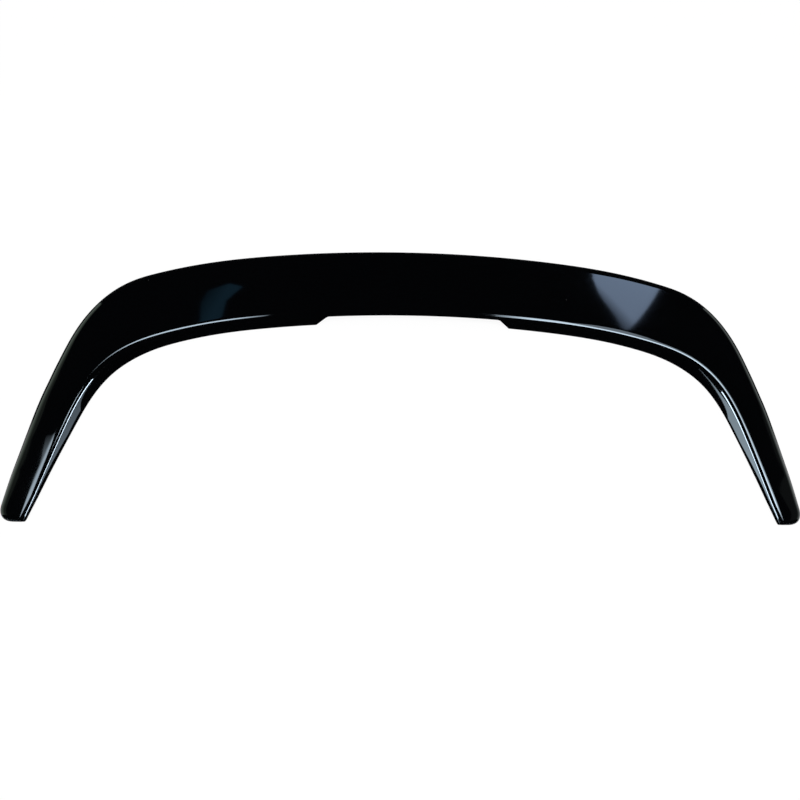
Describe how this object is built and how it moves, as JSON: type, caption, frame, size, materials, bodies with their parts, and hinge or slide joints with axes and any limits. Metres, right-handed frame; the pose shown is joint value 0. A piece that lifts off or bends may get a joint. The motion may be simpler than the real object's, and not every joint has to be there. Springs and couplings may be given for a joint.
{
  "type": "roof spoiler",
  "caption": "Thin gloss-black roof spoiler with a creased skin, a return flange notched for the high brake lamp, and tapering arms beside the rear window.",
  "frame": {"origin": "centre of the moulding's box, on the plane of its outer edge and flange foot", "axes": "+X right across the car, +Y toward the roof, +Z outward from the car"},
  "size_m": [1.2374, 0.4384, 0.0265],
  "materials": {
    "gloss_black": "high gloss, moulded in black"
  },
  "bodies": {
    "root": {"spoiler_shell": "gloss_black"}
  },
  "joints": []
}
